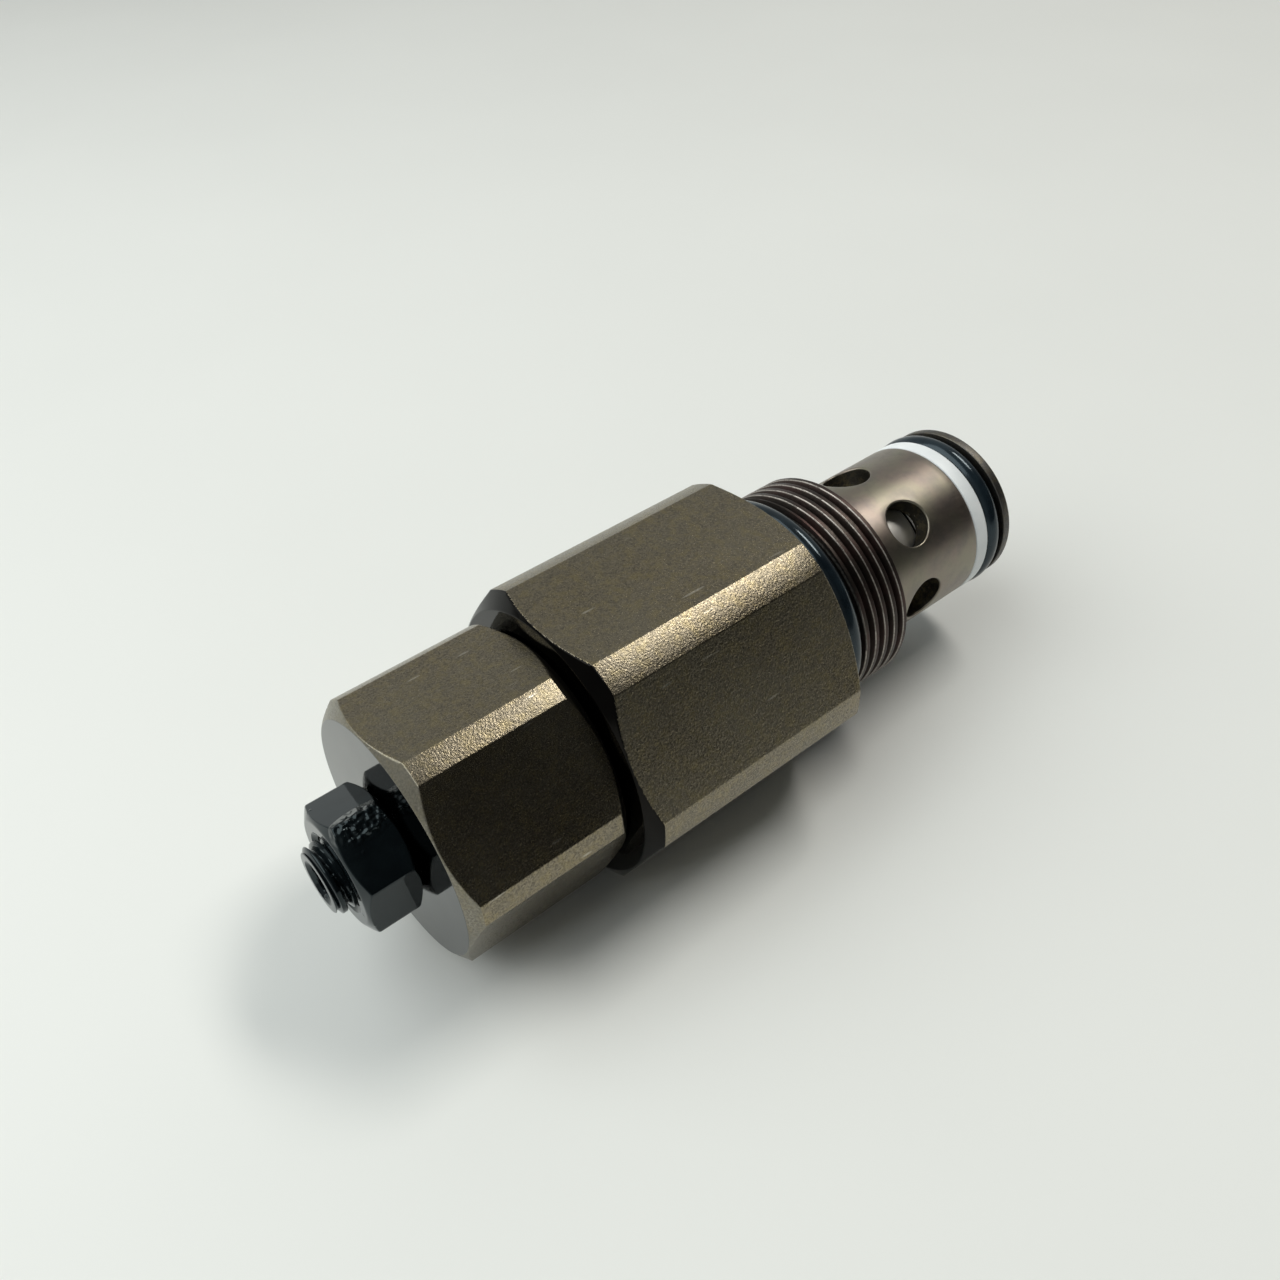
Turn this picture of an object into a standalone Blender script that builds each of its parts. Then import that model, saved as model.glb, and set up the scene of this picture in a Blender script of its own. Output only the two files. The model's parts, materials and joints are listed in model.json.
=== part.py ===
"""Pilot-operated hydraulic relief cartridge valve, lying on one flat of its large hexagon.

Stations are millimetres along the valve's axis, growing towards the nose, from a datum just
outside the adjusting screw. Radii are millimetres from that axis. The finished objects are in
metres: the axis runs along world X with the nose at +X, the middle of the length is at X = 0,
and the part rests on Z = 0. Angles go round the axis, from +Y towards +Z.
"""

import math

import bmesh
import bpy

MM = 0.001

# Driving dimensions
SCREW_OUTER_END = 1.6
NOSE_END = 120.5
MIDDLE = (SCREW_OUTER_END + NOSE_END) / 2
BODY_FLATS = 41.0
CAP_FLATS = 34.8
NUT_FLATS = 16.0
THREAD_RADIUS = 17.0
THREAD_PITCH = 2.0
SCREW_RADIUS = 4.9
SCREW_PITCH = 1.5
KEY_FLATS = 5.0
NOSE_RADIUS = 13.15
PORT_DIAMETER = 7.4
PORT_COUNT = 6
CLEARANCE = 0.3  # between pieces that touch on the real valve

# How far each hexagon is turned from having a flat on top
BODY_TURN = 0.0
CAP_TURN = -7.8
NUT_TURN = -22.6
PORT_TURN = 6.5

# Turned diameters that round the corners of the hexagons
BODY_CORNER = 22.45
CAP_CORNER = 19.2
NUT_CORNER = 9.2

# Stations of the faces
NUT_FRONT = 4.0
NUT_BACK = 11.8
CAP_FRONT = 12.1
CAP_BACK = 36.8
BODY_FRONT = CAP_BACK + CLEARANCE
BODY_BACK = 75.9
THREAD_START = 81.35
THREAD_END = 90.9
NOSE_SHOULDER = 85.9
PORT_STATION = 99.8

# Where each seal groove starts and ends, and the radius of its floor
NOSE_GROOVE = (111.8, 118.7, 9.9)
CAP_GROOVE = (48.2, 50.2, 11.3)
SLEEVE_GROOVE = (82.6, 84.2, 10.75)
SPRING_SEAT_GROOVE = (31.9, 35.6, 5.6)
PILOT_SEAT_GROOVE = (68.2, 71.9, 7.9)
UNDERCUT_RADIUS = 13.95
SHOULDER_RELIEF = (0.15, 17.9)  # depth and outer radius of the relief under the base O-ring

# Bores of the body, the cap and the sleeve
BODY_BORE = 11.85
BODY_THREAD_BORE = 13.0
NOSE_BORE = 9.7
INLET_RADIUS = 7.5
CAP_BORE = 7.6
SCREW_BORE = SCREW_RADIUS + CLEARANCE
CAP_SHANK_STEP = 52.6  # where the cap's shank goes from the thread to the body's bore

# Stations of the pieces inside
SCREW_INNER_END = 30.3
SPRING_SEAT_START = SCREW_INNER_END + CLEARANCE
SPRING_SEAT_END = 37.0
WASHER_END = 38.6
PILOT_POPPET_FLANGE = 57.4
PILOT_SEAT_START = 62.6
SLEEVE_START = 66.9
PILOT_SEAT_END = 74.3
MAIN_POPPET_START = 84.6
MAIN_POPPET_FLOOR = 98.6
MAIN_POPPET_SHOULDER = 103.2
MAIN_POPPET_TIP = 107.4
MAIN_SEAT_START = 104.2
MAIN_SEAT_END = 106.4

STEEL = dict(color=(0.17, 0.14, 0.10), metallic=0.9, roughness=0.38)
BLACK = dict(color=(0.012, 0.014, 0.016), metallic=0.2, roughness=0.22)
BRIGHT = dict(color=(0.62, 0.61, 0.58), metallic=1.0, roughness=0.2)
SPRING = dict(color=(0.30, 0.29, 0.28), metallic=1.0, roughness=0.35)
RUBBER = dict(color=(0.012, 0.014, 0.018), metallic=0.0, roughness=0.3)
PTFE = dict(color=(0.86, 0.87, 0.87), metallic=0.0, roughness=0.45)


def material(name, look):
    made = bpy.data.materials.new(name)
    made.use_nodes = True
    shader = made.node_tree.nodes["Principled BSDF"]
    shader.inputs["Base Color"].default_value = (*look["color"], 1.0)
    shader.inputs["Metallic"].default_value = look["metallic"]
    shader.inputs["Roughness"].default_value = look["roughness"]
    made.diffuse_color = (*look["color"], 1.0)
    return made


def at(station, radius, angle):
    """A point of the valve in metres, angle in radians."""
    return (
        (station - MIDDLE) * MM,
        radius * math.cos(angle) * MM,
        radius * math.sin(angle) * MM,
    )


def add_object(name, mesh, look=None):
    """Puts the mesh in the scene with its origin on the valve's axis."""
    made = bpy.data.objects.new(name, mesh)
    bpy.context.scene.collection.objects.link(made)
    made.location.z = BODY_FLATS / 2 * MM
    if look:
        mesh.materials.append(material(name, look))
    return made


def finish(shape, name, look=None, smooth_below=32):
    """Turns a bmesh into an object: normals out, round walls smooth, edges sharp."""
    bmesh.ops.recalc_face_normals(shape, faces=shape.faces)
    mesh = bpy.data.meshes.new(name)
    shape.to_mesh(mesh)
    shape.free()
    mesh.shade_smooth()
    mesh.set_sharp_from_angle(angle=math.radians(smooth_below))
    return add_object(name, mesh, look)


def turned(name, outline, look=None, segments=48):
    """A solid of revolution. Outline is a closed loop of (station, radius) pairs.

    A radius is a number, 0 on the axis, or a function of the angle, which makes a thread.
    """
    shape = bmesh.new()
    angles = [math.tau * i / segments for i in range(segments)]
    rings = []
    for station, radius in outline:
        if radius == 0:
            rings.append([shape.verts.new(at(station, 0, 0))] * segments)
            continue
        depth = radius if callable(radius) else lambda _angle, fixed=radius: fixed
        rings.append([shape.verts.new(at(station, depth(a), a)) for a in angles])
    for here, after in zip(rings, rings[1:] + rings[:1]):
        for i in range(segments):
            j = (i + 1) % segments
            corners = list(dict.fromkeys((here[i], here[j], after[j], after[i])))
            if len(corners) > 2:
                shape.faces.new(corners)
    return finish(shape, name, look)


def thread(start, end, pitch, crest, depth, rows_per_pitch=5):
    """Outline points of a right-hand thread, which runs out to its root at both ends."""
    rows = round((end - start) / pitch * rows_per_pitch)
    points = []
    for row in range(rows + 1):
        station = start + (end - start) * row / rows
        full = min(1.0, (station - start) / 0.5, (end - station) / 0.3)

        def radius(angle, station=station, full=full):
            phase = (station / pitch - angle / math.tau) % 1.0
            height = min(1.0, max(0.0, (0.44 - abs(phase - 0.475)) / 0.265))
            return crest - depth + depth * height * full

        points.append((station, radius))
    return points


def groove(where, outer):
    """Outline points of a square seal groove in a shaft of radius outer."""
    start, end, floor = where
    return [(start, outer), (start, floor), (end, floor), (end, outer)]


def prism(name, flats, turn, start, end):
    """A hexagonal cutter with a flat on top when turn is 0."""
    shape = bmesh.new()
    corner = flats / math.sqrt(3)
    ends = []
    for station in (start, end):
        angles = [math.radians(60 * i + turn) for i in range(6)]
        ends.append([shape.verts.new(at(station, corner, a)) for a in angles])
        shape.faces.new(ends[-1])
    for i in range(6):
        j = (i + 1) % 6
        shape.faces.new((ends[0][i], ends[0][j], ends[1][j], ends[1][i]))
    return hide(finish(shape, name))


def hide(cutter):
    cutter.hide_render = True
    cutter.display_type = "WIRE"
    return cutter


def cut(target, cutter, operation="DIFFERENCE"):
    boolean = target.modifiers.new(cutter.name, "BOOLEAN")
    boolean.operation = operation
    boolean.solver = "EXACT"
    boolean.object = cutter
    return target


def ring(name, station, radius, thickness, look=RUBBER, segments=24, sides=6):
    """An O-ring: radius is to the middle of its section, thickness is the section's radius."""
    outline = []
    for i in range(sides):
        angle = math.tau * i / sides
        outline.append((station + thickness * math.cos(angle), radius + thickness * math.sin(angle)))
    return turned(name, outline, look, segments)


def band(name, start, end, inner, outer, look=PTFE, segments=24):
    """A flat ring with small chamfers on its outer edges."""
    edge = 0.2
    outline = [(start, inner), (start, outer - edge), (start + edge, outer)]
    outline += [(end - edge, outer), (end, outer - edge), (end, inner)]
    return turned(name, outline, look, segments)


def coil(name, start, end, radius, wire, turns, segments=12, sides=5):
    """A compression spring with closed ends: the pitch shrinks to the wire at each end turn."""
    shape = bmesh.new()
    steps = turns * segments
    dead = wire * 2 * 1.06
    middle = (end - start - 2 * wire - 2 * dead) / (turns - 2)
    sections = []
    for step in range(steps + 1):
        turn = step / segments
        travel = dead * min(turn, 1.0) + middle * min(max(turn - 1.0, 0.0), turns - 2)
        travel += dead * max(turn - (turns - 1), 0.0)
        angle = math.tau * turn
        section = []
        for side in range(sides):
            around = math.tau * side / sides
            place = at(
                start + wire + travel + wire * math.cos(around),
                radius + wire * math.sin(around),
                angle,
            )
            section.append(shape.verts.new(place))
        sections.append(section)
    for here, after in zip(sections, sections[1:]):
        for side in range(sides):
            other = (side + 1) % sides
            shape.faces.new((here[side], here[other], after[other], after[side]))
    shape.faces.new(sections[0])
    shape.faces.new(sections[-1])
    return finish(shape, name, SPRING, smooth_below=70)


def make_body():
    root = THREAD_RADIUS - 1.2
    relief_depth, relief_radius = SHOULDER_RELIEF
    outline = [
        (BODY_FRONT, BODY_THREAD_BORE),
        (BODY_FRONT, 20.2),
        (BODY_FRONT + 1.5, BODY_CORNER),
        (BODY_BACK - 1.3, BODY_CORNER),
        (BODY_BACK, 20.2),
        (BODY_BACK, relief_radius),
        (BODY_BACK - relief_depth, relief_radius),
        (BODY_BACK - relief_depth, UNDERCUT_RADIUS),
        (THREAD_START - 0.2, UNDERCUT_RADIUS),
        *thread(THREAD_START, THREAD_END - 0.1, THREAD_PITCH, THREAD_RADIUS, 1.2),
        (THREAD_END, root - 0.3),
        (THREAD_END, NOSE_RADIUS + 0.2),
        (NOSE_SHOULDER - CLEARANCE, NOSE_RADIUS + 0.2),
        (NOSE_SHOULDER - CLEARANCE, BODY_BORE),
        (CAP_SHANK_STEP + CLEARANCE, BODY_BORE),
        (CAP_SHANK_STEP + CLEARANCE, BODY_THREAD_BORE),
    ]
    body = turned("hex_body", outline, STEEL)
    cutter = prism("cutter_body_hexagon", BODY_FLATS, BODY_TURN, BODY_FRONT - 5, THREAD_END + 5)
    return cut(body, cutter, "INTERSECT")


def make_cap():
    shank = BODY_THREAD_BORE - CLEARANCE
    tip = BODY_BORE - CLEARANCE
    outline = [
        (CAP_FRONT, SCREW_BORE + 0.5),
        (CAP_FRONT, 17.2),
        (CAP_FRONT + 1.5, CAP_CORNER),
        (CAP_BACK - 2.1, CAP_CORNER),
        (CAP_BACK, 16.9),
        (CAP_BACK, shank - 0.8),
        (CAP_BACK + 2.0, shank - 0.8),
        (CAP_BACK + 2.8, shank),
        *groove(CAP_GROOVE, shank),
        (CAP_SHANK_STEP, shank),
        (CAP_SHANK_STEP, tip),
        (PILOT_SEAT_START - CLEARANCE, tip),
        (PILOT_SEAT_START - CLEARANCE, CAP_BORE),
        (SPRING_SEAT_START - 1.0, CAP_BORE),
        (SPRING_SEAT_START - 1.0, SCREW_BORE),
        (CAP_FRONT + 0.5, SCREW_BORE),
    ]
    cap = turned("adjuster_cap", outline, STEEL, segments=40)
    cutter = prism("cutter_cap_hexagon", CAP_FLATS, CAP_TURN, CAP_FRONT - 5, 70)
    return cut(cap, cutter, "INTERSECT")


def make_lock_nut():
    outline = [
        (NUT_FRONT, SCREW_BORE + 0.5),
        (NUT_FRONT, 7.5),
        (NUT_FRONT + 0.9, NUT_CORNER),
        (NUT_BACK - 0.9, NUT_CORNER),
        (NUT_BACK, 7.5),
        (NUT_BACK, SCREW_BORE + 0.5),
        (NUT_BACK - 0.5, SCREW_BORE),
        (NUT_FRONT + 0.5, SCREW_BORE),
    ]
    nut = turned("lock_nut", outline, BLACK, segments=36)
    cutter = prism("cutter_nut_hexagon", NUT_FLATS, NUT_TURN, NUT_FRONT - 5, NUT_BACK + 5)
    return cut(nut, cutter, "INTERSECT")


def make_screw():
    """Threaded along its whole length; the thread inside the nut and cap is left plain."""
    root = SCREW_RADIUS - 0.8
    thread_start = SCREW_OUTER_END + 0.3
    thread_end = NUT_FRONT + 2.4
    outline = [
        (SCREW_OUTER_END, 0),
        (SCREW_OUTER_END, root),
        *thread(thread_start, thread_end, SCREW_PITCH, SCREW_RADIUS, 0.8),
        (thread_end + 0.2, SCREW_RADIUS - 0.1),
        (SCREW_INNER_END - 1.0, SCREW_RADIUS - 0.1),
        (SCREW_INNER_END, SCREW_RADIUS - 1.1),
        (SCREW_INNER_END, 0),
    ]
    screw = turned("adjusting_screw", outline, BLACK, segments=24)
    return cut(screw, prism("cutter_key_socket", KEY_FLATS, 0.0, SCREW_OUTER_END - 5, SCREW_OUTER_END + 5))


def make_spring_seat():
    piston = CAP_BORE - 0.25
    guide = 2.8
    outline = [
        (SPRING_SEAT_START, 0),
        (SPRING_SEAT_START, piston - 0.6),
        (SPRING_SEAT_START + 0.6, piston),
        *groove(SPRING_SEAT_GROOVE, piston),
        (SPRING_SEAT_END, piston),
        (SPRING_SEAT_END, guide),
        (SPRING_SEAT_END + 5.0, guide),
        (SPRING_SEAT_END + 5.6, guide - 0.6),
        (SPRING_SEAT_END + 5.6, 0),
    ]
    turned("spring_seat", outline, BRIGHT, segments=24)
    ring("spring_seat_o_ring", 34.6, 6.58, 0.9)
    band("spring_seat_backup_ring", 32.1, 33.5, 5.75, 7.45)
    band("pilot_spring_shim", SPRING_SEAT_END + CLEARANCE, WASHER_END, 3.1, 6.4, BRIGHT)


def make_pilot_stage():
    coil("pilot_spring", WASHER_END + CLEARANCE, PILOT_POPPET_FLANGE - CLEARANCE, 4.7, 1.25, 6)
    poppet = [
        (50.6, 0),
        (50.6, 2.0),
        (51.2, 2.6),
        (PILOT_POPPET_FLANGE, 2.6),
        (PILOT_POPPET_FLANGE, 6.2),
        (PILOT_POPPET_FLANGE + 1.8, 6.2),
        (PILOT_POPPET_FLANGE + 1.8, 3.6),
        (60.2, 3.6),
        (63.6, 0.6),
        (63.6, 0),
    ]
    turned("pilot_poppet", poppet, BRIGHT, segments=24)
    spigot = NOSE_BORE - CLEARANCE
    seat = [
        (PILOT_SEAT_START, 2.3),
        (PILOT_SEAT_START, BODY_BORE - CLEARANCE),
        (SLEEVE_START - CLEARANCE, BODY_BORE - CLEARANCE),
        (SLEEVE_START - CLEARANCE, spigot),
        *groove(PILOT_SEAT_GROOVE, spigot),
        (PILOT_SEAT_END - 0.6, spigot),
        (PILOT_SEAT_END, spigot - 0.6),
        (PILOT_SEAT_END, 3.0),
        (66.0, 3.0),
        (66.0, 1.4),
        (63.4, 1.4),
    ]
    turned("pilot_seat", seat, BRIGHT, segments=32)
    ring("pilot_seat_o_ring", 70.8, 8.77, 0.8)
    band("pilot_seat_backup_ring", 68.4, 69.8, 8.05, 9.5)


def make_main_poppet():
    """The poppet seats on the sleeve's throat; its spring bears on the pilot seat."""
    outline = [
        (MAIN_POPPET_START, 7.3),
        (MAIN_POPPET_START, NOSE_BORE - 0.6),
        (MAIN_POPPET_START + 0.4, NOSE_BORE - 0.2),
        (88.0, NOSE_BORE - 0.2),
        (88.0, 9.0),
        (88.8, 9.0),
        (88.8, NOSE_BORE - 0.2),
        (MAIN_POPPET_SHOULDER, NOSE_BORE - 0.2),
        (MAIN_POPPET_SHOULDER, 8.4),
        (104.4, 8.4),
        (MAIN_POPPET_TIP, 5.6),
        (MAIN_POPPET_TIP, 2.8),
        (MAIN_POPPET_FLOOR, 2.8),
        (MAIN_POPPET_FLOOR, 7.3),
    ]
    turned("main_poppet", outline, BRIGHT, segments=32)
    plug = [
        (99.4, 0.6),
        (99.4, 2.5),
        (MAIN_POPPET_TIP - 0.6, 2.5),
        (MAIN_POPPET_TIP - 0.6, 1.3),
        (104.4, 1.3),
        (103.9, 0.6),
    ]
    turned("orifice_plug", plug, dict(BRIGHT, color=(0.55, 0.42, 0.20)), segments=20)
    coil("main_spring", PILOT_SEAT_END + CLEARANCE, MAIN_POPPET_FLOOR - CLEARANCE, 6.0, 0.8, 7)


def make_nose_sleeve():
    shank = BODY_BORE - 0.25
    outline = [
        (SLEEVE_START, NOSE_BORE),
        (SLEEVE_START, shank - 0.5),
        (SLEEVE_START + 0.5, shank),
        *groove(SLEEVE_GROOVE, shank),
        (NOSE_SHOULDER, shank),
        (NOSE_SHOULDER, NOSE_RADIUS),
        *groove(NOSE_GROOVE, NOSE_RADIUS),
        (NOSE_END - 0.5, NOSE_RADIUS),
        (NOSE_END, NOSE_RADIUS - 0.5),
        (NOSE_END, INLET_RADIUS + 0.8),
        (NOSE_END - 0.8, INLET_RADIUS),
        (MAIN_SEAT_END, INLET_RADIUS),
        (MAIN_SEAT_START, NOSE_BORE),
    ]
    sleeve = turned("nose_sleeve", outline, STEEL)
    for pair in range(PORT_COUNT // 2):
        cut(sleeve, make_port_cutter(pair, 360 / PORT_COUNT * pair + PORT_TURN))
    return sleeve


def make_port_cutter(index, angle):
    """A cylinder right across the sleeve, which opens two ports that face each other."""
    shape = bmesh.new()
    bmesh.ops.create_cone(
        shape,
        cap_ends=True,
        segments=28,
        radius1=PORT_DIAMETER / 2 * MM,
        radius2=PORT_DIAMETER / 2 * MM,
        depth=4 * NOSE_RADIUS * MM,
    )
    cutter = finish(shape, f"cutter_port_{index}")
    cutter.location.x = (PORT_STATION - MIDDLE) * MM
    cutter.rotation_euler.x = math.radians(angle - 90)
    return hide(cutter)


def make_seals():
    ring("base_o_ring", 79.35, 15.95, 1.75, segments=40, sides=8)
    ring("nose_o_ring", 116.4, 11.66, 1.74, segments=40, sides=8)
    band("nose_backup_ring", 111.9, 114.5, 10.05, NOSE_RADIUS + 0.05, segments=40)
    ring("cap_o_ring", 49.2, 12.14, 0.8)
    ring("sleeve_o_ring", 83.4, 11.29, 0.5)


def main():
    for old in list(bpy.data.objects):
        bpy.data.objects.remove(old, do_unlink=True)
    make_body()
    make_cap()
    make_lock_nut()
    make_screw()
    make_spring_seat()
    make_pilot_stage()
    make_main_poppet()
    make_nose_sleeve()
    make_seals()


main()
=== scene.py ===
"""The looks of the hydraulic cartridge valve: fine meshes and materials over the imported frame."""

import json
import math

import bmesh
import bpy
from mathutils import Matrix, Vector


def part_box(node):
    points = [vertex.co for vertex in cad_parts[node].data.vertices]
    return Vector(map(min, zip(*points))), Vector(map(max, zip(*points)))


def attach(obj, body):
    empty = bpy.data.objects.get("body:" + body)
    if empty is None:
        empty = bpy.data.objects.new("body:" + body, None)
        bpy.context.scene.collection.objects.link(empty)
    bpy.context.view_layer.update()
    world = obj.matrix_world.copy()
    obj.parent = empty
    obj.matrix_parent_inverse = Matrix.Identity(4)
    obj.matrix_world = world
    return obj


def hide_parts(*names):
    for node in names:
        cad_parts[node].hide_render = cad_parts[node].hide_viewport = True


MM = 0.001

# Across-flats sizes, turned radii and turns of the three hexagons, as in the CAD
BODY_FLATS = 41.0
CAP_FLATS = 34.8
NUT_FLATS = 16.0
BODY_CORNER = 22.45
CAP_CORNER = 19.2
NUT_CORNER = 9.2
CAP_TURN = -7.8
NUT_TURN = -22.6

# The body's thread
THREAD_LENGTH = 15.0
THREAD_RADIUS = 17.0
THREAD_DEPTH = 1.2
THREAD_PITCH = 2.0
THREAD_SHIFT = 0.34  # start of the thread as a share of its pitch

# The round ports of the sleeve and the patch of mesh round each
PORTS = 6
PORT_TURN = 6.5
PORT_RADIUS = 3.7
PORT_BACK = 20.7  # from the sleeve's end to the middle of the ports
PATCH_SIDE = 24  # edges along each side of the square patch
PATCH_REACH = 5.4

EDGE = 0.1  # how far each sharp edge is broken
CREST_MIDDLE = 0.475  # phase of the middle of a thread's crest
CREST_EDGE = 0.3  # phase at which the crest starts

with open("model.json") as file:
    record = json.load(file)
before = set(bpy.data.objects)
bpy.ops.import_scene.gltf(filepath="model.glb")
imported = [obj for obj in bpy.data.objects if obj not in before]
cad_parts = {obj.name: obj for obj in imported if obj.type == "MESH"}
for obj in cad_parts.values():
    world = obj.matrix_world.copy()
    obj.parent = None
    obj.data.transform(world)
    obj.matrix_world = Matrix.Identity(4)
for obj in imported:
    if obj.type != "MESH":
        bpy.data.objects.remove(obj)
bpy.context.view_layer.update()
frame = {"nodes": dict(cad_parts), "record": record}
AXIS_HEIGHT = BODY_FLATS / 2


# ---------------------------------------------------------------- mesh tools


def extent(node):
    """First and last station of a CAD node along the valve, in millimetres."""
    low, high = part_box(node)
    return low.x / MM, high.x / MM


def outer_radius(node):
    low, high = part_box(node)
    return (high.y - low.y) / 2 / MM


def at(station, radius, angle):
    """A point of the valve in metres, angle in radians from +Y towards +Z."""
    return Vector(
        (
            station * MM,
            radius * math.cos(angle) * MM,
            (radius * math.sin(angle) + AXIS_HEIGHT) * MM,
        )
    )


def soft_min(a, b, blend=0.05):
    """The smaller value, rounded where the two are within blend of each other."""
    near = max(blend - abs(a - b), 0.0) / blend
    return min(a, b) - near * near * blend / 4


def hexagon(flats, turn):
    """Radius of a hexagonal prism's surface at an angle."""

    def radius(angle):
        from_flat = (math.degrees(angle) - turn) % 60 - 30
        return flats / 2 / math.cos(math.radians(from_flat))

    return radius


def sector_angles(turn, edge_at, dense=0.09, coarse=1.25):
    """Angles round a hexagon, dense beside the edges of the flats, edge_at degrees off each middle."""
    wanted = [coarse * i for i in range(round(360 / coarse))]
    for middle in range(0, 360, 60):
        for edge in (middle - edge_at, middle + edge_at):
            wanted += [(edge + i * dense) % 360 for i in range(-5, 6)]
    kept = [0.0]
    for angle in sorted(wanted):
        if kept[-1] + dense * 0.6 < angle < 360 - dense * 0.6:
            kept.append(angle)
    return [math.radians(angle + 30 + turn) for angle in kept]


def even_angles(count):
    return [math.tau * i / count for i in range(count)]


def rounded(outline, edge=EDGE, steps=4):
    """Breaks each corner of an open outline with a small arc. A third value overrides the size."""
    result = []
    last = len(outline) - 1
    for i, point in enumerate(outline):
        here = Vector(point[:2])
        size = point[2] if len(point) > 2 else edge
        if i in (0, last) or size == 0:
            result.append(here)
            continue
        before = Vector(outline[i - 1][:2])
        after = Vector(outline[i + 1][:2])
        reach = min(size, (before - here).length * 0.45, (after - here).length * 0.45)
        start = here + (before - here).normalized() * reach
        end = here + (after - here).normalized() * reach
        for k in range(steps + 1):
            t = k / steps
            result.append(start * (1 - t) ** 2 + here * 2 * t * (1 - t) + end * t * t)
    return result


def refined(outline, longest):
    """Adds points so that no step is longer than longest(station) millimetres."""
    result = [outline[0]]
    for before, after in zip(outline, outline[1:]):
        limit = longest((before.x + after.x) / 2)
        count = max(1, math.ceil((after - before).length / limit))
        for k in range(1, count + 1):
            result.append(before.lerp(after, k / count))
    return result


def surface(name, outline, angles, radius_at=None, closed=True):
    """Turns an outline round the axis. radius_at(station, radius, angle) may change a radius."""
    shape = bmesh.new()
    rings = []
    for station, radius in outline:
        if radius < 1e-6:
            rings.append([shape.verts.new(at(station, 0, 0))] * len(angles))
            continue
        ring = []
        for angle in angles:
            reach = radius_at(station, radius, angle) if radius_at else radius
            ring.append(shape.verts.new(at(station, reach, angle)))
        rings.append(ring)
    pairs = list(zip(rings, rings[1:]))
    if closed:
        pairs.append((rings[-1], rings[0]))
    for here, after in pairs:
        for i in range(len(angles)):
            j = (i + 1) % len(angles)
            corners = list(dict.fromkeys((here[i], here[j], after[j], after[i])))
            if len(corners) > 2:
                shape.faces.new(corners)
    return to_object(shape, name)


def to_object(shape, name, sharp=40):
    bmesh.ops.recalc_face_normals(shape, faces=shape.faces)
    mesh = bpy.data.meshes.new(name)
    shape.to_mesh(mesh)
    shape.free()
    mesh.shade_smooth()
    mesh.set_sharp_from_angle(angle=math.radians(sharp))
    made = bpy.data.objects.new(name, mesh)
    bpy.context.scene.collection.objects.link(made)
    return made


def thread_height(station, angle, pitch, shift):
    """Height of a right-hand thread, 0 at the root and 1 on its wide crest, with rounded corners."""
    phase = (station / pitch - angle / math.tau + shift) % 1.0
    slope = (0.44 - abs(phase - CREST_MIDDLE)) / 0.265
    return max(0.0, soft_min(slope, 1.0, 0.14))


def threaded(start, end, pitch, crest, depth, shift):
    """A radius_at function that cuts a thread between two stations of a cylinder."""

    def radius(station, base, angle):
        if not start < station < end:
            return base
        full = min(1.0, (station - start) / 0.5, (end - station) / 0.2)
        return min(base, crest - depth + depth * thread_height(station, angle, pitch, shift) * full)

    return radius


# ---------------------------------------------------------------- node materials


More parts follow.
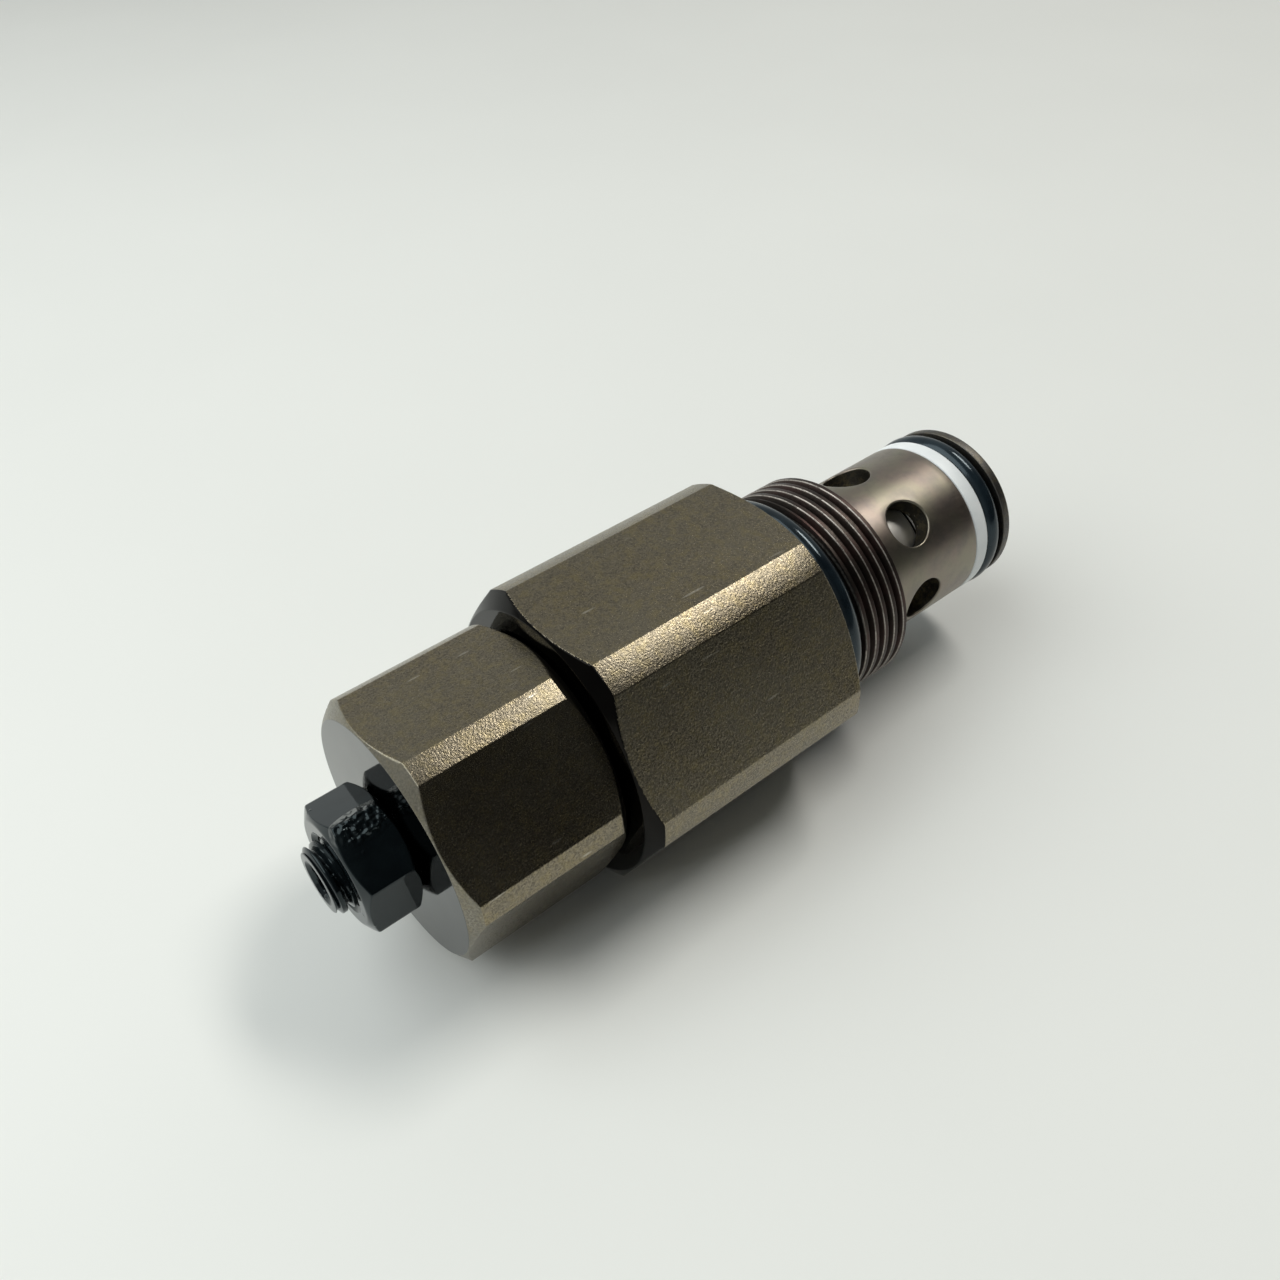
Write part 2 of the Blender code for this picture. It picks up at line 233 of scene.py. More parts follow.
class Nodes:
    """A short way to write a material's node tree."""

    def __init__(self, name):
        self.material = bpy.data.materials.new(name)
        self.material.use_nodes = True
        self.tree = self.material.node_tree
        self.shader = self.tree.nodes["Principled BSDF"]
        self.place = self.tree.nodes.new("ShaderNodeTexCoord").outputs["Object"]

    def put(self, target, value):
        if isinstance(value, bpy.types.NodeSocket):
            self.tree.links.new(value, target)
        else:
            target.default_value = value

    def mapped(self, scale):
        node = self.tree.nodes.new("ShaderNodeMapping")
        self.put(node.inputs["Vector"], self.place)
        node.inputs["Scale"].default_value = scale
        return node.outputs["Vector"]

    def noise(self, scale, detail=4.0, roughness=0.55, vector=None):
        node = self.tree.nodes.new("ShaderNodeTexNoise")
        self.put(node.inputs["Vector"], vector or self.place)
        node.inputs["Scale"].default_value = scale
        node.inputs["Detail"].default_value = detail
        node.inputs["Roughness"].default_value = roughness
        return node.outputs["Fac"]

    def cells(self, scale):
        node = self.tree.nodes.new("ShaderNodeTexVoronoi")
        self.put(node.inputs["Vector"], self.place)
        node.inputs["Scale"].default_value = scale
        return node.outputs["Distance"]

    def helix(self, pitch, shift):
        """The phase of a right-hand thread, counted as thread_height does."""
        split = self.tree.nodes.new("ShaderNodeSeparateXYZ")
        self.put(split.inputs["Vector"], self.place)
        above_axis = self.math("SUBTRACT", split.outputs["Z"], AXIS_HEIGHT * MM)
        angle = self.math("ARCTAN2", above_axis, split.outputs["Y"])
        turns = self.math("DIVIDE", angle, math.tau)
        along = self.math("DIVIDE", split.outputs["X"], pitch * MM)
        return self.math("FRACT", self.math("ADD", self.math("SUBTRACT", along, turns), shift))

    def far_from(self, place, scale):
        """Distance from a place in metres, counted at scale along each axis."""
        node = self.tree.nodes.new("ShaderNodeVectorMath")
        node.operation = "DISTANCE"
        self.put(node.inputs[0], self.mapped(scale))
        node.inputs[1].default_value = [a * b for a, b in zip(place, scale)]
        return node.outputs["Value"]

    def ramp(self, value, low, high, start=0.0, end=1.0):
        """Maps low..high of the value onto start..end, clamped."""
        node = self.tree.nodes.new("ShaderNodeMapRange")
        self.put(node.inputs["Value"], value)
        node.inputs["From Min"].default_value = low
        node.inputs["From Max"].default_value = high
        node.inputs["To Min"].default_value = start
        node.inputs["To Max"].default_value = end
        return node.outputs["Result"]

    def math(self, operation, first, second=0.0):
        """One arithmetic node."""
        node = self.tree.nodes.new("ShaderNodeMath")
        node.operation = operation
        self.put(node.inputs[0], first)
        self.put(node.inputs[1], second)
        return node.outputs["Value"]

    def mix(self, amount, first, second):
        """Blends two colours, each a tuple or a socket."""
        node = self.tree.nodes.new("ShaderNodeMix")
        node.data_type = "RGBA"
        self.put(node.inputs["Factor"], amount)
        self.put(node.inputs["A"], (*first, 1.0) if isinstance(first, tuple) else first)
        self.put(node.inputs["B"], (*second, 1.0) if isinstance(second, tuple) else second)
        return node.outputs["Result"]

    def worn(self):
        """About 1 along edges and 0 elsewhere: where rounding the edges off would turn the surface."""
        rounded_off = self.tree.nodes.new("ShaderNodeBevel")
        rounded_off.inputs["Radius"].default_value = 0.12 * MM
        agreement = self.tree.nodes.new("ShaderNodeVectorMath")
        agreement.operation = "DOT_PRODUCT"
        self.put(agreement.inputs[0], rounded_off.outputs["Normal"])
        self.put(agreement.inputs[1], self.tree.nodes.new("ShaderNodeNewGeometry").outputs["Normal"])
        return self.ramp(agreement.outputs["Value"], 0.995, 0.93)

    def bump(self, height, distance, strength, normal=None):
        """A bump of a height in metres, on top of another one if normal is given."""
        node = self.tree.nodes.new("ShaderNodeBump")
        self.put(node.inputs["Height"], height)
        node.inputs["Distance"].default_value = distance
        node.inputs["Strength"].default_value = strength
        if normal is not None:
            self.put(node.inputs["Normal"], normal)
        return node.outputs["Normal"]

    def set(self, **values):
        """Sets the shader's inputs, named in lower case, and gives the finished material."""
        for name, value in values.items():
            self.put(self.shader.inputs[name.replace("_", " ").title().replace("Ior", "IOR")], value)
        return self.material


BARE_STEEL = (0.62, 0.58, 0.5)


def phosphated_steel(name, tone, dark, rough, grain):
    """Bronze-brown phosphate on turned steel: fine sparkling grain, clouding and bare edges."""
    n = Nodes(name)
    clouds = n.ramp(n.noise(70, 3), 0.35, 0.65)
    grains = n.noise(3300, 3, 0.65)
    specks = n.ramp(n.noise(3400, 5, 0.8), 0.4, 0.6)
    golden = n.ramp(n.noise(650, 5, 0.75), 0.46, 0.64)
    scratches = n.ramp(n.noise(1500, 1, 0.5, n.mapped((0.1, 1.0, 0.8))), 0.735, 0.78)
    colour = n.mix(specks, tone, dark)
    colour = n.mix(n.math("MULTIPLY", golden, 0.4 * grain), colour, (0.33, 0.265, 0.12))
    colour = n.mix(n.math("MULTIPLY", clouds, 0.25), colour, (0.20, 0.19, 0.155))
    colour = n.mix(n.math("MULTIPLY", scratches, 0.5 * grain), colour, BARE_STEEL)
    colour = n.mix(n.math("MULTIPLY", n.worn(), 0.6), colour, BARE_STEEL)
    unevenness = n.math("ADD", specks, n.math("MULTIPLY", clouds, 0.5))
    roughness = n.ramp(unevenness, 0.0, 1.5, rough - 0.04, rough + 0.08)
    normal = n.bump(grains, 0.00008, 0.65 * grain)
    normal = n.bump(n.noise(700, 4, 0.6), 0.00006, 0.25 * grain, normal)
    return n.set(base_color=colour, metallic=1.0, roughness=roughness, normal=normal)


def painted_dark_face_steel(name, dark, light):
    """The end faces, turned smooth before the finish: a gloss that mirrors at a slant, its colour kept
    near black as painted dark reflection.
    """
    n = Nodes(name)
    rings = n.noise(2200, 2, 0.5)
    clouds = n.ramp(n.noise(160, 3), 0.35, 0.65)
    colour = n.mix(clouds, dark, light)
    roughness = n.ramp(rings, 0.3, 0.7, 0.05, 0.11)
    return n.set(base_color=colour, metallic=1.0, roughness=roughness, normal=n.bump(rings, 0.000004, 0.3))


def turned_steel(name):
    """The nose, turned smooth under a thin finish that clouds from olive to a reddish brown."""
    n = Nodes(name)
    clouds = n.ramp(n.noise(170, 4, 0.6), 0.38, 0.62)
    stain = n.ramp(n.noise(330, 3, 0.6), 0.45, 0.7)
    lines = n.noise(5200, 2, 0.5, n.mapped((1.0, 0.03, 0.03)))
    colour = n.mix(clouds, (0.27, 0.25, 0.195), (0.27, 0.225, 0.195))
    colour = n.mix(n.math("MULTIPLY", stain, 0.5), colour, (0.17, 0.155, 0.15))
    colour = n.mix(n.math("MULTIPLY", n.worn(), 0.5), colour, (0.55, 0.5, 0.43))
    roughness = n.ramp(n.noise(2600, 3, 0.6), 0.3, 0.7, 0.33, 0.42)
    return n.set(base_color=colour, metallic=1.0, roughness=roughness, normal=n.bump(lines, 0.000012, 0.5))


def thread_steel(name):
    """The cut thread: colour much darker and redder than the flats, with a light line on the near edge of
    each crest that is partly worn bare steel and partly painted highlight.
    """
    n = Nodes(name)
    grains = n.noise(2600, 3, 0.6)
    stain = n.ramp(n.noise(260, 4, 0.6), 0.38, 0.68)
    colour = n.mix(stain, (0.05, 0.043, 0.038), (0.078, 0.05, 0.046))
    phase = n.helix(THREAD_PITCH, THREAD_SHIFT)
    # Only the near edge of each crest is lightened: partly worn bare steel, partly painted highlight.
    edge = n.math("ABSOLUTE", n.math("SUBTRACT", phase, CREST_EDGE))
    crest_wear_and_glint = n.math("MULTIPLY", n.ramp(edge, 0.015, 0.04, 1.0, 0.0), n.ramp(grains, 0.35, 0.6, 0.45, 0.95))
    colour = n.mix(crest_wear_and_glint, colour, (0.5, 0.46, 0.42))
    roughness = n.ramp(grains, 0.3, 0.7, 0.36, 0.5)
    return n.set(base_color=colour, metallic=1.0, roughness=roughness, normal=n.bump(grains, 0.00005, 0.4))


def black_lacquer(name):
    """Thick glossy black lacquer over steel, wrinkled along one edge of the nut, with a few bubbles."""
    n = Nodes(name)
    waves = n.noise(420, 2, 0.4)
    wrinkles = n.noise(1500, 0, 0.5)
    wrinkled = n.ramp(n.far_from(WRINKLED_PLACE, (0.55, 1.0, 1.0)), 0.0015, 0.0026, 1.0, 0.0)
    bubbles = n.ramp(n.cells(300), 0.05, 0.1, 1.0, 0.0)
    colour = n.mix(n.ramp(n.noise(300, 4), 0.3, 0.7), (0.003, 0.0045, 0.0055), (0.006, 0.009, 0.0105))
    roughness = n.ramp(waves, 0.3, 0.7, 0.05, 0.1)
    normal = n.bump(waves, 0.00005, 0.2)
    normal = n.bump(n.math("MULTIPLY", wrinkles, wrinkled), 0.0006, 1.0, normal)
    normal = n.bump(bubbles, 0.00015, 0.6, normal)
    return n.set(
        base_color=colour,
        roughness=roughness,
        normal=normal,
        ior=1.42,
        specular_tint=(0.78, 0.95, 1.0, 1.0),
    )


def ground_steel(name):
    """Bright steel with fine rings left by grinding."""
    n = Nodes(name)
    rings = n.noise(6000, 2, 0.5, n.mapped((1.0, 0.02, 0.02)))
    colour = n.mix(n.ramp(n.noise(200, 3), 0.35, 0.65), (0.70, 0.68, 0.64), (0.80, 0.79, 0.76))
    roughness = n.ramp(rings, 0.3, 0.7, 0.4, 0.55)
    return n.set(base_color=colour, metallic=1.0, roughness=roughness, normal=n.bump(rings, 0.00001, 0.4))


def spring_steel(name):
    """Drawn wire with a dull grey skin."""
    n = Nodes(name)
    drawn = n.noise(2500, 3, 0.6)
    colour = n.mix(n.ramp(drawn, 0.35, 0.65), (0.22, 0.21, 0.20), (0.40, 0.39, 0.37))
    return n.set(
        base_color=colour,
        metallic=1.0,
        roughness=n.ramp(drawn, 0.3, 0.7, 0.28, 0.42),
        normal=n.bump(drawn, 0.00002, 0.4),
    )


def brass(name):
    """Turned brass, slightly tarnished."""
    n = Nodes(name)
    turned_lines = n.noise(5000, 2, 0.5, n.mapped((1.0, 0.05, 0.05)))
    colour = n.mix(n.ramp(n.noise(350, 4), 0.35, 0.65), (0.58, 0.42, 0.18), (0.72, 0.56, 0.28))
    return n.set(
        base_color=colour,
        metallic=1.0,
        roughness=n.ramp(turned_lines, 0.3, 0.7, 0.2, 0.34),
        normal=n.bump(turned_lines, 0.00001, 0.4),
    )


def nitrile(name):
    """Oiled black rubber: blue-grey sheen, faint mould texture."""
    n = Nodes(name)
    film = n.noise(260, 3, 0.5)
    colour = n.mix(n.ramp(film, 0.35, 0.65), (0.006, 0.010, 0.014), (0.012, 0.02, 0.026))
    return n.set(
        base_color=colour,
        roughness=n.ramp(film, 0.3, 0.7, 0.08, 0.2),
        normal=n.bump(n.noise(1600, 3, 0.6), 0.00002, 0.35),
        specular_tint=(0.75, 0.9, 1.0, 1.0),
    )


def ptfe(name):
    """Waxy white plastic."""
    n = Nodes(name)
    wax = n.noise(300, 3, 0.5)
    colour = n.mix(n.ramp(wax, 0.3, 0.7), (0.78, 0.82, 0.84), (0.86, 0.89, 0.90))
    return n.set(
        base_color=colour,
        roughness=n.ramp(wax, 0.3, 0.7, 0.34, 0.46),
        normal=n.bump(n.noise(2200, 3, 0.6), 0.00002, 0.3),
    )


WRINKLED_PLACE = at(-52.6, 9.0, math.radians(104))  # on the lock nut's edge
PHOSPHATE = ((0.31, 0.265, 0.19), (0.12, 0.105, 0.08))
MATERIALS = {
    "phosphated_steel": phosphated_steel("phosphated_steel", *PHOSPHATE, 0.25, 1.0),
    "black_lacquered_steel": black_lacquer("black_lacquered_steel"),
    "ground_steel": ground_steel("ground_steel"),
    "spring_steel": spring_steel("spring_steel"),
    "plug_brass": brass("plug_brass"),
    "nitrile_rubber": nitrile("nitrile_rubber"),
    "ptfe": ptfe("ptfe"),
}
# Near-black colour on the cap's end faces: painted dark reflection of the nut in them.
PAINTED_DARK_FACE = painted_dark_face_steel("painted_dark_face_steel", (0.05, 0.051, 0.05), (0.065, 0.066, 0.063))
# Almost black on the body's end faces and near chamfer: painted shade and painted reflection of the cap's
# dark flats.
SHADED = painted_dark_face_steel("painted_shade_face", (0.008, 0.0075, 0.007), (0.012, 0.011, 0.01))
CHAMFERED = phosphated_steel("chamfered_steel", (0.27, 0.25, 0.205), (0.15, 0.138, 0.112), 0.3, 0.5)
# Near-black colour inside the sleeve's bore and ports and on the poppet's nose: painted shade.
BORE_SHADE = phosphated_steel("bore_painted_shade", (0.05, 0.045, 0.038), (0.03, 0.027, 0.023), 0.5, 0.6)
THREADED = thread_steel("thread_steel")
TURNED = turned_steel("turned_steel")
FLANGED = phosphated_steel("flange_steel", (0.13, 0.125, 0.125), (0.07, 0.068, 0.07), 0.42, 0.5)


def dress_cad_nodes():
    """Every CAD node gets the material of its slot, also where a finer mesh takes its place."""
    for part in frame["record"]["subparts"]:
        node = frame["nodes"][part["node"]]
        node.data.materials.clear()
        node.data.materials.append(MATERIALS[part["material_slot"]])


def by_face(face, threaded_from=1e9, faced_to=-1e9):
    """Which of a steel piece's materials a face has: 0 flats, 1 faced (colours of painted dark reflection
    and painted shade), 2 chamfers, 3 thread.
    """
    if face.center.x / MM > threaded_from:
        return 3
    lean = abs(face.normal.x)
    if lean > 0.97 or (lean > 0.35 and face.center.x / MM < faced_to):
        return 1
    return 2 if lean > 0.35 else 0


def stand_for(piece, node, body, slot, choose=None, extra=()):
    """The finer piece replaces the CAD node and rides on its body."""
    piece.data.materials.clear()
    for material in (MATERIALS[slot], *extra):
        piece.data.materials.append(material)
    if choose:
        for face in piece.data.polygons:
            face.material_index = choose(face)
    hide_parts(node)
    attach(piece, body)
    return piece


# ---------------------------------------------------------------- the pieces


def make_body():
    start, end = extent("hex_body")
    back = end - THREAD_LENGTH
    flats = hexagon(BODY_FLATS, 0)
    crest = THREAD_RADIUS
    root = crest - THREAD_DEPTH
    outline = rounded(
        [
            (start, 13.0, 0),
            (start, 20.2),
            (start + 1.5, BODY_CORNER),
            (back - 1.3, BODY_CORNER),
            (back, 20.2),
            (back, 17.9, 0),
            (back - 0.15, 17.9, 0),
            (back - 0.15, 13.95, 0),
            (back + 5.25, 13.95, 0),
            (back + 5.45, root, 0),
            (back + 5.5, crest, 0),
            (end - 0.15, crest, 0),
            (end - 0.1, root, 0),
            (end, root - 0.3),
            (end, 13.35, 0),
            (end - 5.3, 13.35, 0),
            (end - 5.3, 11.85, 0),
            (start + 15.8, 11.85, 0),
            (start + 15.8, 13.0, 0),
        ]
    )

    def longest(station):
        if station < start + 1.8 or back - 1.8 < station < back + 0.2:
            return 0.14
        return 0.11 if back + 5.4 < station < end - 0.05 else 4.0

    cut = threaded(back + 5.45, end - 0.1, THREAD_PITCH, crest, THREAD_DEPTH, THREAD_SHIFT)

    def radius_at(station, radius, angle):
        if station < back + 1:
            return soft_min(radius, flats(angle))
        return cut(station, radius, angle) if radius > root - 0.01 else radius

    edge_at = math.degrees(math.acos(BODY_FLATS / 2 / BODY_CORNER))
    fine = refined(outline, longest)
    body = surface("body", fine, sector_angles(0, edge_at), radius_at)
    # SHADED gives the body's end faces and near chamfer painted shade.
    extra = (SHADED, CHAMFERED, THREADED)
    return stand_for(
        body,
        "hex_body",
        "housing",
        "phosphated_steel",
        lambda face: by_face(face, threaded_from=back + 4.5, faced_to=start + 2.0),
        extra,
    )


def make_cap():
    start, end = extent("adjuster_cap")
    back = start + 24.7
    flats = hexagon(CAP_FLATS, CAP_TURN)
    outline = rounded(
        [
            (start, 5.7, 0),
            (start, 17.2),
            (start + 1.5, CAP_CORNER),
            (back - 2.1, CAP_CORNER),
            (back, 16.9),
            (back, 11.9, 0),
            (back + 2.0, 11.9),
            (back + 2.8, 12.7),
            (start + 36.1, 12.7, 0),
            (start + 36.1, 11.3, 0),
            (start + 38.1, 11.3, 0),
            (start + 38.1, 12.7, 0),
            (start + 40.5, 12.7, 0),
            (start + 40.5, 11.55, 0),
            (end, 11.55, 0),
            (end, 7.6, 0),
            (start + 17.5, 7.6, 0),
            (start + 17.5, 5.2, 0),
            (start + 0.5, 5.2, 0),
        ]
    )

    def longest(station):
        near_chamfer = station < start + 1.8 or back - 2.5 < station < back + 0.2
        return 0.14 if near_chamfer else 5.0

    def radius_at(station, radius, angle):
        return soft_min(radius, flats(angle)) if station < back + 0.1 else radius

    edge_at = math.degrees(math.acos(CAP_FLATS / 2 / CAP_CORNER))
    cap = surface("cap", refined(outline, longest), sector_angles(CAP_TURN, edge_at), radius_at)
    extra = (PAINTED_DARK_FACE, CHAMFERED)
    return stand_for(cap, "adjuster_cap", "housing", "phosphated_steel", by_face, extra)


def make_nut():
    start, end = extent("lock_nut")
    flats = hexagon(NUT_FLATS, NUT_TURN)
    outline = rounded(
        [
            (start, 5.8, 0),
            (start, 7.5),
            (start + 0.95, NUT_CORNER),
            (end - 0.95, NUT_CORNER),
            (end, 7.5),
            (end, 5.8, 0),
            (end - 0.6, 5.2, 0),
            (start + 0.6, 5.2, 0),
        ],
        edge=0.25,
    )

    def longest(station):
        return 0.12 if station < start + 1.2 or station > end - 1.2 else 1.5

    def radius_at(station, radius, angle):
        return soft_min(radius, flats(angle), 0.16)

    edge_at = math.degrees(math.acos(NUT_FLATS / 2 / NUT_CORNER))
    angles = sector_angles(NUT_TURN, edge_at, dense=0.3)
    nut = surface("nut", refined(outline, longest), angles, radius_at)
    return stand_for(nut, "lock_nut", "nut", "black_lacquered_steel")


def make_screw():
    start, end = extent("adjusting_screw")
    crest = 4.9
    depth = 0.85
    thread_end = start + 7.0
    socket = hexagon(5.0, 0)
    outline = rounded(
        [
            (start, 0, 0),
            (start, crest - 0.7),
            (start + 0.6, crest - 0.1),
            (thread_end, crest - 0.1, 0),
            (end - 1.0, crest - 0.1),
            (end, crest - 1.1),
            (end, 0, 0),
        ]
    )
    del outline[0]
    floor = [Vector((start + 5.0, 0.0)), Vector((start + 5.0, 1.3)), Vector((start + 4.9, 2.5))]
    walls = [Vector((start + 4.9 - 4.3 * k / 6, 2.5)) for k in range(1, 7)]
    outline = floor + walls + [Vector((start, 3.2))] + outline

    def longest(station):
        return 0.1 if start + 0.05 < station < thread_end else 3.0

    cut = threaded(start + 0.1, thread_end, 1.5, crest, depth, 0.0)

    def radius_at(station, radius, angle):
        if 1.0 < radius < 2.6:
            return socket(angle) * radius / 2.5
        return cut(station, radius, angle) if radius > 3.5 else radius

    screw = surface("screw", refined(outline, longest), even_angles(120), radius_at, closed=False)
    return stand_for(screw, "adjusting_screw", "screw", "black_lacquered_steel")


def make_o_ring(name, node):
    start, end = extent(node)
    section = (end - start) / 2
    middle = (start + end) / 2
    radius = outer_radius(node) - section
    outline = [
        Vector((middle + section * math.cos(a), radius + section * math.sin(a)))
        for a in even_angles(28)
    ]
    ring = surface(name, outline, even_angles(160))
    return stand_for(ring, node, "housing", "nitrile_rubber")


def make_backup_ring():
    start, end = extent("nose_backup_ring")
    outer = outer_radius("nose_backup_ring")
    outline = rounded(
        [
            (start, 10.05, 0),
            (start, outer, 0.3),
            (end, outer, 0.3),
            (end, 10.05, 0),
        ]
    )
    ring = surface("backup_ring", outline, even_angles(160))
    return stand_for(ring, "nose_backup_ring", "housing", "ptfe")


def patch_turns():
    """Angles round a port, one for each point of its patch, from a corner of the square."""
    count = 4 * PATCH_SIDE
    return [math.tau * (k + PATCH_SIDE / 2) / count for k in range(count)]


def port_ring(shape, port_angle, station, hole, depth_radius):
    """The circle of vertices where a round port of radius hole crosses a cylinder."""
    ring = []
    for turn in patch_turns():
        angle = port_angle + math.asin(hole * math.sin(turn) / depth_radius)
        ring.append(shape.verts.new(at(station + hole * math.cos(turn), depth_radius, angle)))
    return ring


def patch_square(port_angle, station):
    """Stations and angles round the square patch, in the same order as port_ring."""
    half = math.tau / PORTS / 2
    points = []
    for k in range(4 * PATCH_SIDE):
        side, step = divmod(k, PATCH_SIDE)
        t = step / PATCH_SIDE * 2 - 1
        along, across = corner_walk(side, t)
        points.append((station + PATCH_REACH * along, port_angle + half * across))
    return points


def corner_walk(side, t):
    """Walks a square from (1, 1) ... in the same sense as a circle started at 45 degrees."""
    if side == 0:
        return -t, 1
    if side == 1:
        return -1, -t
    if side == 2:
        return t, -1
    return 1, t


def band_between(shape, first, second):
    """Faces between two closed rings of as many vertices."""
    count = len(first)
    for i in range(count):
        j = (i + 1) % count
        shape.faces.new((first[i], first[j], second[j], second[i]))


def port_patch(shape, port_angle, station, radius, edge, outward):
    """A cylinder's skin round one port, from the square to the start of the port's wall.

    outward is 1 where the edge is on the outside of the sleeve and -1 on the inside.
    """
    square = patch_square(port_angle, station)
    hole = PORT_RADIUS + edge
    circle = []
    for turn in patch_turns():
        angle = port_angle + math.asin(hole * math.sin(turn) / radius)
        circle.append((station + hole * math.cos(turn), angle))
    rows = []
    for step in range(7):
        t = (step / 6) ** 1.4  # rows closer together near the square
        row = []
        for (s0, a0), (s1, a1) in zip(square, circle):
            row.append(shape.verts.new(at(s0 + (s1 - s0) * t, radius, a0 + (a1 - a0) * t)))
        rows.append(row)
    for before, after in zip(rows, rows[1:]):
        band_between(shape, before, after)
    last = rows[-1]
    for k in range(1, 5):
        bend = math.pi / 2 * k / 4
        hole_k = PORT_RADIUS + edge * (1 - math.sin(bend))
        radius_k = radius - outward * edge * (1 - math.cos(bend))
        ring = port_ring(shape, port_angle, station, hole_k, radius_k)
        band_between(shape, last, ring)
        last = ring
    return last


def make_sleeve():
    start, end = extent("nose_sleeve")
    station = end - PORT_BACK
    outer, inner = 13.15, 9.7
    low, high = station - PATCH_REACH, station + PATCH_REACH
    columns = PORTS * PATCH_SIDE
    angles = [
        math.radians(PORT_TURN) - math.pi / PORTS + math.tau * i / columns for i in range(columns)
    ]
    shape = bmesh.new()
    outside = rounded(
        [
            (high, outer, 0),
            (end - 8.7, outer, 0.25),
            (end - 8.7, 9.9, 0),
            (end - 1.8, 9.9, 0),
            (end - 1.8, outer, 0.2),
            (end - 0.5, outer, 0.15),
            (end, outer - 0.5, 0.15),
            (end, 8.3),
            (end - 0.8, 7.5),
            (end - 14.1, 7.5),
            (end - 16.3, inner, 0),
        ]
    )
    outside = refined(outside, lambda _station: 1.2)
    inside = rounded(
        [
            (low, inner, 0),
            (start, inner, 0),
            (start, 11.1, 0),
            (start + 0.5, 11.6, 0),
            (start + 15.7, 11.6, 0),
            (start + 15.7, 10.75, 0),
            (start + 17.3, 10.75, 0),
            (start + 17.3, 11.6, 0),
            (start + 19.0, 11.6, 0),
            (start + 19.0, outer, 0),
            (low, outer, 0),
        ]
    )
    inside = refined(inside, lambda _station: 2.5)
    bridge = [Vector((end - 16.3, inner)), Vector((high, inner))]
    for outline in (outside, inside, bridge):
        rings = [[shape.verts.new(at(s, r, a)) for a in angles] for s, r in outline]
        for before, after in zip(rings, rings[1:]):
            band_between(shape, before, after)
    for port in range(PORTS):
        angle = math.radians(PORT_TURN) + math.tau * port / PORTS
        top = port_patch(shape, angle, station, outer, 0.28, 1)
        bottom = port_patch(shape, angle, station, inner, 0.12, -1)
        for step in range(1, 5):
            t = step / 4
            radius = (outer - 0.28) * (1 - t) + (inner + 0.12) * t
            ring = bottom if step == 4 else port_ring(shape, angle, station, PORT_RADIUS, radius)
            band_between(shape, top, ring)
            top = ring
    bmesh.ops.remove_doubles(shape, verts=shape.verts, dist=0.00001)
    sleeve = to_object(shape, "sleeve")

    def choose(face):
        if face.center.x / MM > end - 1.9:
            return 3
        radius = math.hypot(face.center.y / MM, face.center.z / MM - AXIS_HEIGHT)
        # faces in the bore and the ports get the painted shade
        return 2 if radius < outer - 0.3 and face.center.x / MM < end - 15 else 1

    return stand_for(
        sleeve, "nose_sleeve", "housing", "phosphated_steel", choose, (TURNED, BORE_SHADE, FLANGED)
    )


def make_poppet():
    start, end = extent("main_poppet")
    skin = 9.5
    outline = [
        (start, 7.3, 0),
        (start, skin - 0.4, 0),
        (start + 0.4, skin, 0),
        (start + 3.4, skin),
        (start + 3.4, 9.0, 0),
        (start + 4.2, 9.0, 0),
        (start + 4.2, skin),
        (start + 11.0, skin),
        (start + 11.0, 9.2, 0),
        (start + 11.6, 9.2, 0),
        (start + 11.6, skin),
        (end - 4.2, skin, 0.3),
        (end - 4.2, 8.4, 0.1),
        (end - 3.0, 8.4, 0.2),
        (end, 5.6, 0.2),
        (end, 2.8, 0),
        (end - 8.8, 2.8, 0),
        (end - 8.8, 7.3, 0),
    ]
    poppet = surface("poppet", rounded(outline), even_angles(144))

    def choose(face):
        # the poppet's nose gets the painted shade of the bore
        return 1 if face.center.x / MM > end - 4.25 else 0

    return stand_for(poppet, "main_poppet", "main_stage", "ground_steel", choose, (BORE_SHADE,))


# ---------------------------------------------------------------- the studio


def make_floor():
    """A pale seamless floor, far larger than the view."""
    shape = bmesh.new()
    bmesh.ops.create_grid(shape, x_segments=8, y_segments=8, size=3.0)
    floor = to_object(shape, "floor")
    n = Nodes("floor_paper")
    tone = n.mix(n.ramp(n.noise(6, 3), 0.3, 0.7), (0.80, 0.815, 0.795), (0.83, 0.845, 0.825))
    floor.data.materials.append(
        n.set(base_color=tone, roughness=0.6, normal=n.bump(n.noise(700, 3), 0.0001, 0.1))
    )


def make_light(name, place, target, size, power, colour=(1.0, 1.0, 1.0)):
    data = bpy.data.lights.new(name, "AREA")
    data.shape = "RECTANGLE"
    data.size, data.size_y = size
    data.energy = power
    data.color = colour
    light = bpy.data.objects.new(name, data)
    bpy.context.scene.collection.objects.link(light)
    light.location = place
    aim = Vector(target) - Vector(place)
    light.rotation_euler = aim.to_track_quat("-Z", "Y").to_euler()
    return light


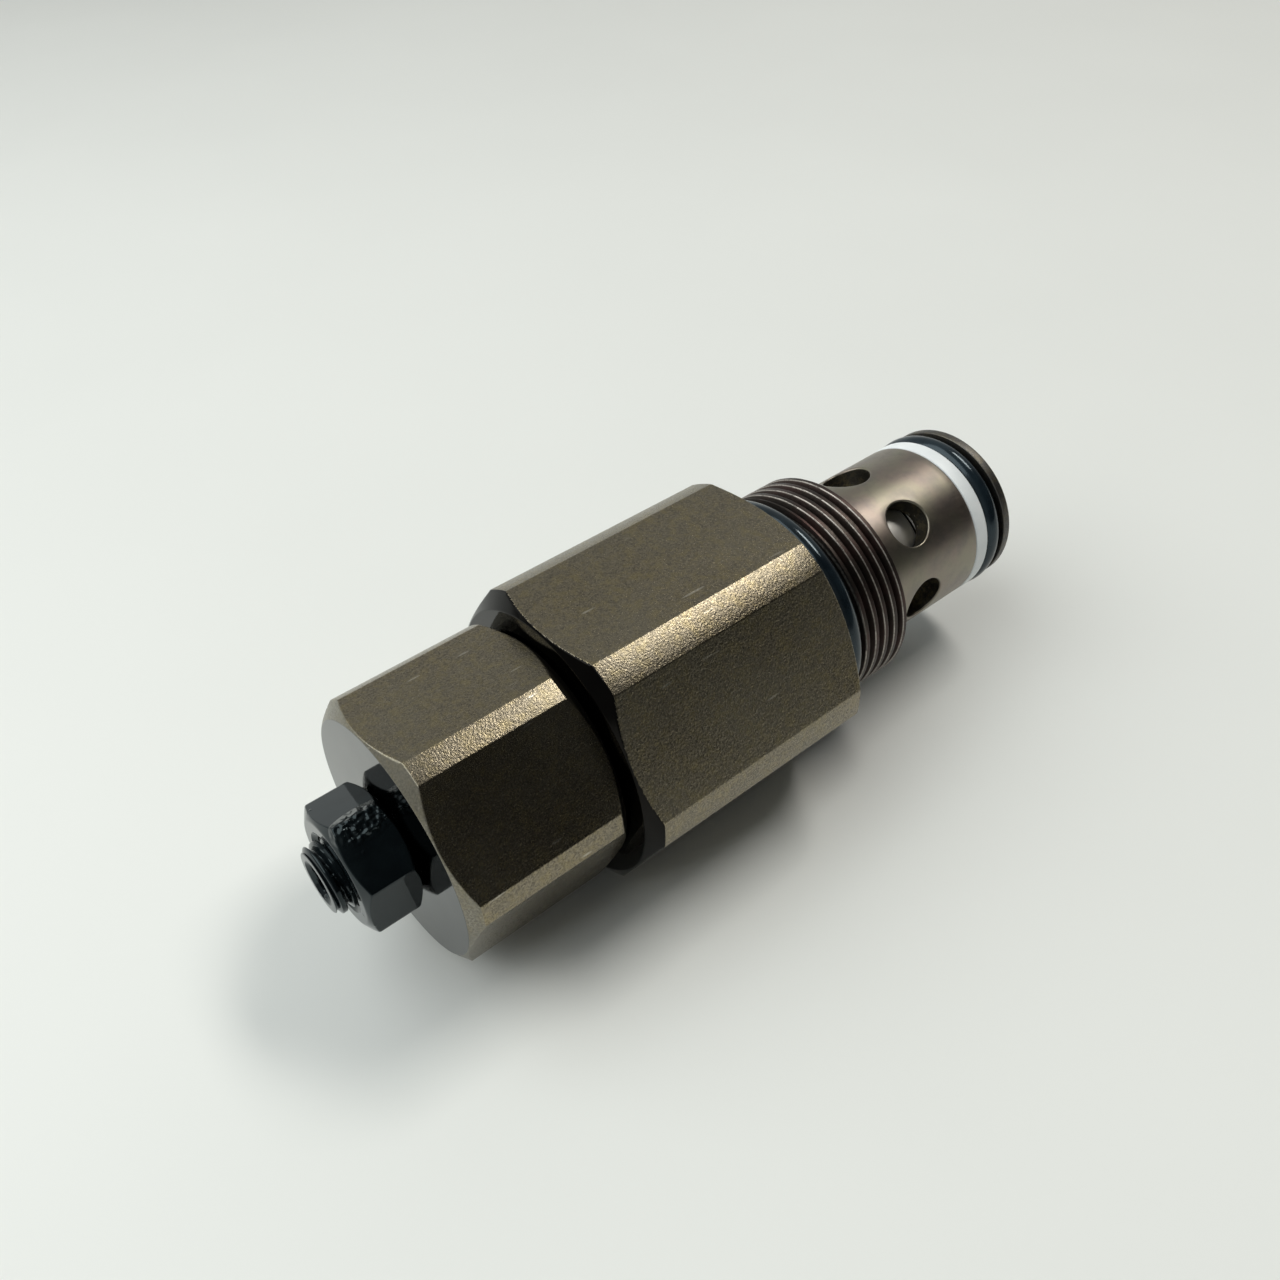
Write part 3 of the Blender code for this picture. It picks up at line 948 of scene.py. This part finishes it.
def make_world():
    """A pale wall behind the valve, dim on the viewer's side, as in a room with a bright ceiling."""
    world = bpy.data.worlds.new("studio")
    bpy.context.scene.world = world
    world.use_nodes = True
    tree = world.node_tree
    background = tree.nodes["Background"]
    split = tree.nodes.new("ShaderNodeSeparateXYZ")
    tree.links.new(tree.nodes.new("ShaderNodeTexCoord").outputs["Generated"], split.inputs["Vector"])

    def ramp(value, low, high, start, end):
        node = tree.nodes.new("ShaderNodeMapRange")
        node.interpolation_type = "SMOOTHSTEP"
        tree.links.new(value, node.inputs["Value"])
        for name, number in zip(("From Min", "From Max", "To Min", "To Max"), (low, high, start, end)):
            node.inputs[name].default_value = number
        return node.outputs["Result"]

    def combine(operation, first, second):
        node = tree.nodes.new("ShaderNodeMath")
        node.operation = operation
        tree.links.new(first, node.inputs[0])
        tree.links.new(second, node.inputs[1])
        return node.outputs["Value"]

    behind = ramp(split.outputs["Y"], -0.5, 0.55, 0.02, 0.38)
    low = ramp(split.outputs["Z"], 0.0, 0.5, 0.45, 0.0)
    low_wall = combine("MULTIPLY", low, ramp(split.outputs["Y"], 0.0, 0.8, 0.0, 1.0))
    not_left = ramp(split.outputs["X"], -0.75, -0.45, 0.0, 1.0)
    open_wall = combine("MAXIMUM", not_left, ramp(split.outputs["Z"], 0.16, 0.34, 0.06, 1.0))
    light = combine("MULTIPLY", combine("ADD", behind, low_wall), open_wall)
    light = combine("ADD", light, ramp(split.outputs["X"], -0.7, 0.0, 0.22, 0.0))
    tree.links.new(light, background.inputs["Strength"])
    background.inputs["Color"].default_value = (0.97, 1.0, 0.975, 1.0)


CAMERA_PLACE = Vector((-0.0808, -0.0919, 0.1393))
CAMERA_RIGHT = Vector((0.76914, -0.63869, -0.02250))
CAMERA_AHEAD = Vector((0.45516, 0.57216, -0.68225))
FIELD_OF_VIEW = 57.57


def make_camera():
    data = bpy.data.cameras.new("camera")
    data.angle = math.radians(FIELD_OF_VIEW)
    data.clip_start = 0.01
    camera = bpy.data.objects.new("camera", data)
    bpy.context.scene.collection.objects.link(camera)
    up = CAMERA_RIGHT.cross(CAMERA_AHEAD)
    turn = Matrix((CAMERA_RIGHT, up, -CAMERA_AHEAD)).transposed().to_4x4()
    camera.matrix_world = Matrix.Translation(CAMERA_PLACE) @ turn
    bpy.context.scene.camera = camera


def make_studio():
    make_floor()
    make_world()
    make_light("ceiling", (-0.33, 0.17, 0.46), (0, 0, 0.02), (0.7, 0.65), 2.65, (0.96, 1.0, 0.985))
    make_light("lamp", (0.58, -0.03, 0.97), (0, 0, 0.02), (0.5, 0.22), 4.7, (1.0, 0.965, 0.9))
    bpy.context.scene.view_settings.view_transform = "Standard"


def main():
    dress_cad_nodes()
    make_body()
    make_cap()
    make_nut()
    make_screw()
    make_sleeve()
    make_poppet()
    make_o_ring("base_ring", "base_o_ring")
    make_o_ring("nose_ring", "nose_o_ring")
    make_backup_ring()
    make_studio()
    make_camera()


main()
